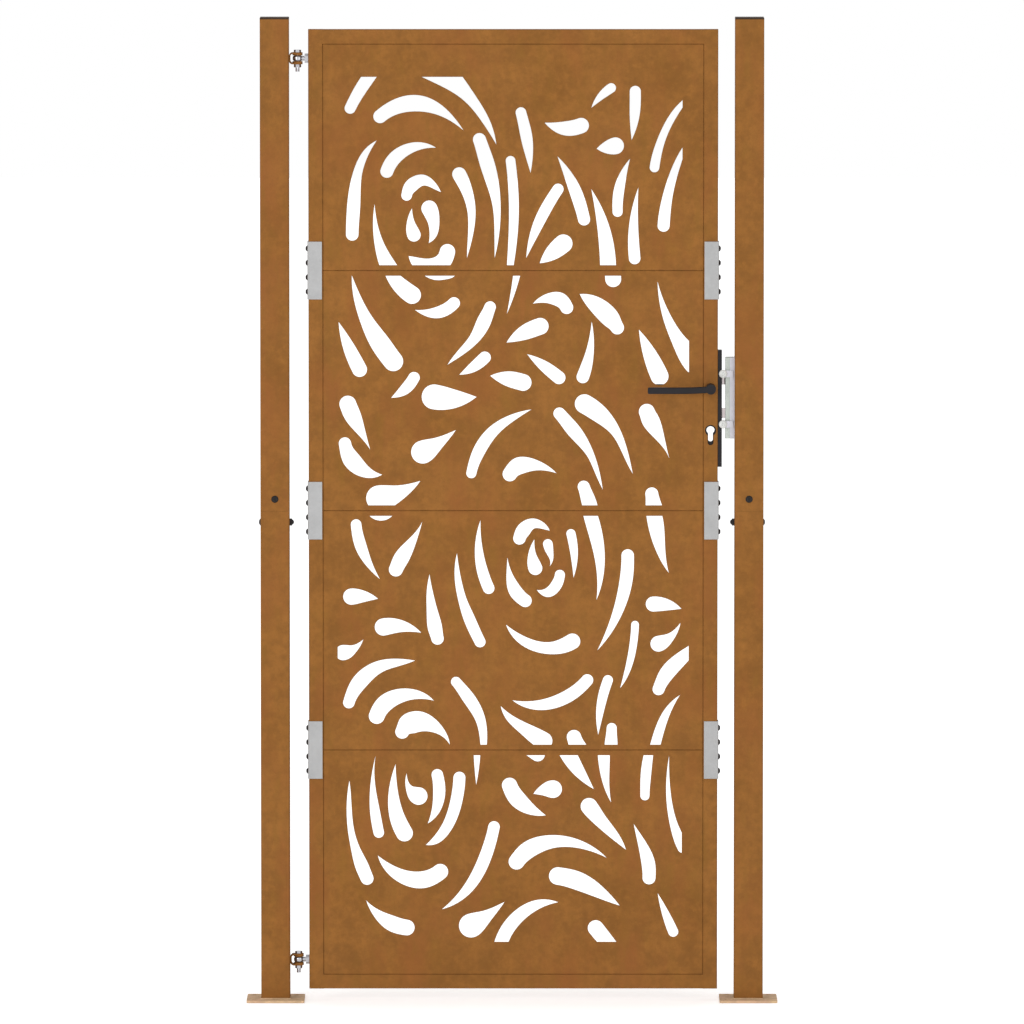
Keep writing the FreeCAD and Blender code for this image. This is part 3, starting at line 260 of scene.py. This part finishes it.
def zinc(name, main, rough_low, rough_high, metal, spangle=0.03):
    """Zinc coating with faint grey crystals, brush marks and a painted highlight on the edges."""
    made, tree, shader = start(name)
    crystals = cells(tree, place(tree), 160.0)
    tone = ramp(tree, crystals, [(0.2, shade(main, 1 - spangle)), (0.8, shade(main, 1 + spangle))])
    cloud = noise(tree, place(tree), 30.0)
    tone = veil(tree, cloud, 0.4, 0.75, 0.2, tone, shade(main, 0.9))
    soft, edge = rounded(tree, 0.6 * MM)
    # Painted highlight: the rounded edges are painted a little lighter, where light would catch them.
    tone = veil(tree, edge, 0.0, 1.0, 0.2, tone, shade(main, 1.15))
    marks = noise(tree, place(tree, (1, 1, 12)), 240.0, detail=2.0)
    normal = bump(tree, marks, depth=0.06 * MM, strength=0.3, normal=soft)
    rough = spread(tree, cloud, 0.35, 0.7, rough_low, rough_high)
    finish_shader(tree, shader, tone, rough, normal, metal, gloss=0.5)
    return made


def black_coat(name, main, rough_low, rough_high, grains_per_metre):
    """Black paint, oxide or plastic with a fine texture and a painted highlight on the edges."""
    made, tree, shader = start(name)
    cloud = noise(tree, place(tree), 45.0)
    tone = ramp(tree, cloud, [(0.3, shade(main, 0.8)), (0.7, shade(main, 1.25))])
    soft, edge = rounded(tree, 0.7 * MM)
    # Painted highlight: the edges are painted much lighter than the coat, where light would catch them.
    tone = veil(tree, edge, 0.2, 1.0, 0.35, tone, shade(main, 2.6))
    orange_peel = noise(tree, place(tree), grains_per_metre, detail=2.0, rough=0.6)
    normal = bump(tree, orange_peel, depth=0.12 * MM, strength=0.4, normal=soft)
    rough = spread(tree, cloud, 0.3, 0.7, rough_low, rough_high)
    finish_shader(tree, shader, tone, rough, normal, metal=0.0, gloss=0.22)
    return made


def floor_material():
    """Plain white floor that glows a little, so that it stays as white as the surround."""
    made, tree, shader = start("floor_pale")
    cloud = noise(tree, place(tree), 0.8, detail=2.0)
    tone = ramp(tree, cloud, [(0.3, NEAR_WHITE), (0.7, WHITE)])
    tree.links.new(tone, shader.inputs["Base Color"])
    shader.inputs["Roughness"].default_value = 0.9
    shader.inputs["Specular IOR Level"].default_value = 0.0
    shader.inputs["Emission Color"].default_value = WHITE
    shader.inputs["Emission Strength"].default_value = 0.25
    return made


CORTEN = shade(srgb(149, 98, 43), 0.75)

LOOKS = {
    "weathered_steel": rust_patina("weathered_steel_look", CORTEN),
    "base_plate_steel": rust_patina("base_plate_look", shade(srgb(208, 176, 140), 0.9), mottle=2.2),
    "galvanised_steel": zinc("galvanised_look", srgb(157, 157, 157), 0.5, 0.7, 0.35, 0.02),
    "zinc_hardware": zinc("zinc_hardware_look", srgb(176, 176, 180), 0.22, 0.4, 0.95, 0.05),
    "keep_steel": zinc("keep_look", srgb(174, 180, 173), 0.45, 0.6, 0.1),
    "bolt_steel": zinc("bolt_look", srgb(190, 180, 180), 0.3, 0.45, 0.9, 0.04),
    "lock_steel": black_coat("lock_look", srgb(34, 30, 30), 0.45, 0.6, 900.0),
    "black_coated_metal": black_coat("black_coat_look", srgb(24, 21, 24), 0.42, 0.58, 900.0),
    "black_fasteners": black_coat("black_oxide_look", srgb(30, 26, 26), 0.35, 0.5, 1500.0),
    "black_plastic": black_coat("black_plastic_look", srgb(50, 34, 20), 0.65, 0.8, 700.0),
    "stop_rubber_steel": zinc("stop_look", srgb(202, 203, 200), 0.4, 0.55, 0.1),
}
# Nodes whose look differs from their slot: a lilac keep base, and rails whose end welds are dressed flush
DRESSED_STEEL = rust_patina("dressed_steel_look", CORTEN, 0.05 * MM)
NODE_LOOKS = {
    "keep_base": zinc("keep_base_look", srgb(189, 188, 195), 0.45, 0.6, 0.1),
    "rail_bottom": DRESSED_STEEL,
    "rail_top": DRESSED_STEEL,
}


def dress_nodes():
    """Gives every CAD node its own look or the look of its material slot."""
    slots = {entry["node"]: entry["material_slot"] for entry in frame["record"]["subparts"]}
    for name, piece in frame["nodes"].items():
        piece.data.materials.clear()
        piece.data.materials.append(NODE_LOOKS.get(name, LOOKS[slots[name]]))


# ---------------------------------------------------------------- pieces


def middle(node):
    """Centre of a CAD node's box."""
    low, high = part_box(node)
    return (Vector(low) + Vector(high)) / 2


def add_piece(name, verts, faces, body, slot_name):
    """A smooth mesh piece that rides on a body."""
    mesh = bpy.data.meshes.new(name)
    mesh.from_pydata(verts, [], faces)
    mesh.update()
    mesh.shade_smooth()
    mesh.materials.append(LOOKS[slot_name])
    piece = bpy.data.objects.new(name, mesh)
    bpy.context.scene.collection.objects.link(piece)
    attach(piece, body)
    return piece


def grid_faces(rows, columns):
    """Quads between rows of points that close on themselves, with both ends capped."""
    faces = []
    for row in range(rows - 1):
        for column in range(columns):
            step = (column + 1) % columns
            faces.append((row * columns + column, row * columns + step,
                          (row + 1) * columns + step, (row + 1) * columns + column))
    faces.append(tuple(reversed(range(columns))))
    faces.append(tuple((rows - 1) * columns + column for column in range(columns)))
    return faces


def thread(name, start_point, direction, length, radius, pitch, body):
    """Helical thread ridges that wrap a plain shank and grow in over a quarter of it at each end."""
    turn = direction.to_track_quat("Z", "Y").to_matrix()
    rows = int(length / pitch * ROWS_PER_TURN) + 1
    verts = []
    for row in range(rows):
        along = row * length / (rows - 1)
        for column in range(THREAD_COLUMNS):
            angle = 2 * math.pi * column / THREAD_COLUMNS
            phase = (along / pitch - column / THREAD_COLUMNS) % 1.0
            ridge = 1 - abs(2 * phase - 1)
            fade = min(1.0, 4 * along / length, 4 * (length - along) / length)
            reach = radius * (THREAD_ROOT + THREAD_RIDGE * ridge * fade)
            point = Vector((reach * math.cos(angle), reach * math.sin(angle), along))
            verts.append(start_point + turn @ point)
    return add_piece(name, verts, grid_faces(rows, THREAD_COLUMNS), body, "zinc_hardware")


def weld(name, first, last, out_a, out_b, size, body, slot_name="weathered_steel"):
    """Rippled fillet weld along a straight corner, with legs towards out_a and out_b."""
    run = last - first
    ripple = RIPPLE_PITCH * size
    rows = max(FEWEST_WELD_ROWS, int(run.length / ripple * ROWS_PER_RIPPLE))
    verts = []
    for row in range(rows):
        along = row / (rows - 1)
        wave = abs(math.sin(math.pi * along * run.length / ripple))
        taper = min(1.0, TAPERS_IN_A_WELD * along, TAPERS_IN_A_WELD * (1 - along))
        reach = size * (RIPPLE_VALLEY + RIPPLE_WAVE * wave) * (WELD_END + WELD_GROWTH * taper)
        corner = first + run * along
        for column in range(WELD_COLUMNS - 1):
            angle = math.pi / 2 * column / (WELD_COLUMNS - 2)
            crown = WELD_FACE + WELD_CROWN * math.sin(2 * angle)
            verts.append(corner + (out_a * math.cos(angle) + out_b * math.sin(angle)) * reach * crown)
        verts.append(corner)
    return add_piece(name, verts, grid_faces(rows, WELD_COLUMNS), body, slot_name)


def hinge_threads():
    """Threads on the free ends of the pivot bolts and on the eyebolts."""
    for end in ("bottom", "top"):
        pin_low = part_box("hinge_pin_" + end)[0]
        pin_middle = middle("hinge_pin_" + end)
        nut_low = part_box("hinge_bracket_" + end)[0][2] - PIVOT_NUT_H
        pin_foot = Vector((pin_middle.x, pin_middle.y, pin_low[2]))
        thread("pin_thread_" + end, pin_foot, Vector((0, 0, 1)), nut_low - pin_low[2],
               PIVOT_BOLT_R, PIVOT_PITCH, "posts")
        eye_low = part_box("eyebolt_" + end)[0]
        nut_low_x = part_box("eyebolt_nuts_" + end)[0][0]
        shank_start = Vector((eye_low[0] + EYE_REACH, 0, middle("eyebolt_" + end).z))
        thread("eyebolt_thread_" + end, shank_start, Vector((1, 0, 0)), nut_low_x - shank_start.x,
               EYEBOLT_R, EYEBOLT_PITCH, "leaf")


def foot_welds():
    """Ripples over the fillet weld round each post foot."""
    for side in ("left", "right"):
        low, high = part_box("post_lower_" + side)
        top = low[2]
        corners = [Vector((low[0], low[1], top)), Vector((high[0], low[1], top)),
                   Vector((high[0], high[1], top)), Vector((low[0], high[1], top))]
        for index, corner in enumerate(corners):
            following = corners[(index + 1) % len(corners)]
            run = (following - corner).normalized()
            out = Vector((run.y, -run.x, 0))
            weld("foot_weld_%s_%d" % (side, index), corner, following, out, Vector((0, 0, 1)),
                 FOOT_WELD, "posts", "base_plate_steel")


def bracket_welds():
    """Upright welds that hold both edges of the hinge brackets to the post."""
    for end in ("bottom", "top"):
        low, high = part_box("hinge_bracket_" + end)
        for name, y, out in (("front", low[1], -1), ("rear", high[1], 1)):
            first = Vector((low[0], y, low[2] + BRACKET_WELD_INSET))
            last = Vector((low[0], y, high[2] - BRACKET_WELD_INSET))
            weld("bracket_weld_%s_%s" % (end, name), first, last, Vector((1, 0, 0)), Vector((0, out, 0)),
                 BRACKET_WELD, "posts")


def rail_welds():
    """Welds on the back of the leaf where the rails meet the stiles."""
    for rail_name in ("rail_bottom", "rail_top"):
        low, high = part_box(rail_name)
        for side, x, out in (("left", low[0], 1), ("right", high[0], -1)):
            first = Vector((x, high[1] - RAIL_WELD, low[2] + RAIL_WELD_INSET))
            last = Vector((x, high[1] - RAIL_WELD, high[2] - RAIL_WELD_INSET))
            weld("%s_weld_%s" % (rail_name, side), first, last, Vector((-out, 0, 0)), Vector((0, 1, 0)),
                 RAIL_WELD, "leaf")


# ---------------------------------------------------------------- stage, light and camera


def studio():
    """Pale floor, white surround and two soft lamps."""
    bpy.ops.mesh.primitive_plane_add(size=FLOOR_SIZE, location=(0, 0, -FLOOR_DROP))
    floor = bpy.context.object
    floor.name = "floor"
    floor.data.materials.append(floor_material())
    world = bpy.data.worlds.new("surround")
    world.use_nodes = True
    background = world.node_tree.nodes["Background"]
    background.inputs["Color"].default_value = WHITE
    background.inputs["Strength"].default_value = 1.0
    bpy.context.scene.world = world
    bpy.context.scene.view_settings.view_transform = "Standard"
    lamp("key", where=(-4.0, -7.5, 2.6), size=3.0, watts=190)
    lamp("fill", where=(5.0, -6.0, 1.6), size=4.0, watts=70)


def lamp(name, where, size, watts):
    """Square soft lamp aimed at the middle of the gate."""
    data = bpy.data.lights.new(name, "AREA")
    data.size = size
    data.energy = watts
    light = bpy.data.objects.new(name, data)
    light.location = where
    aim(light, Vector(LAMP_TARGET))
    bpy.context.scene.collection.objects.link(light)


def aim(thing, target):
    """Turns a lamp or a camera towards a point."""
    away = target - Vector(thing.location)
    thing.rotation_euler = away.to_track_quat("-Z", "Y").to_euler()


def camera():
    """Very long lens, from above and square-on."""
    low, high = cad_box
    height = high[2] - low[2]
    data = bpy.data.cameras.new("camera")
    data.lens = LENS
    data.sensor_width = SENSOR_WIDTH
    data.clip_end = CLIP_END
    made = bpy.data.objects.new("camera", data)
    made.location = (0, -CAMERA_BACK * height, CAMERA_UP * height)
    aim(made, Vector((0, 0, AIM_UP * height)))
    bpy.context.scene.collection.objects.link(made)
    bpy.context.scene.camera = made


dress_nodes()
hinge_threads()
foot_welds()
bracket_welds()
rail_welds()
studio()
camera()
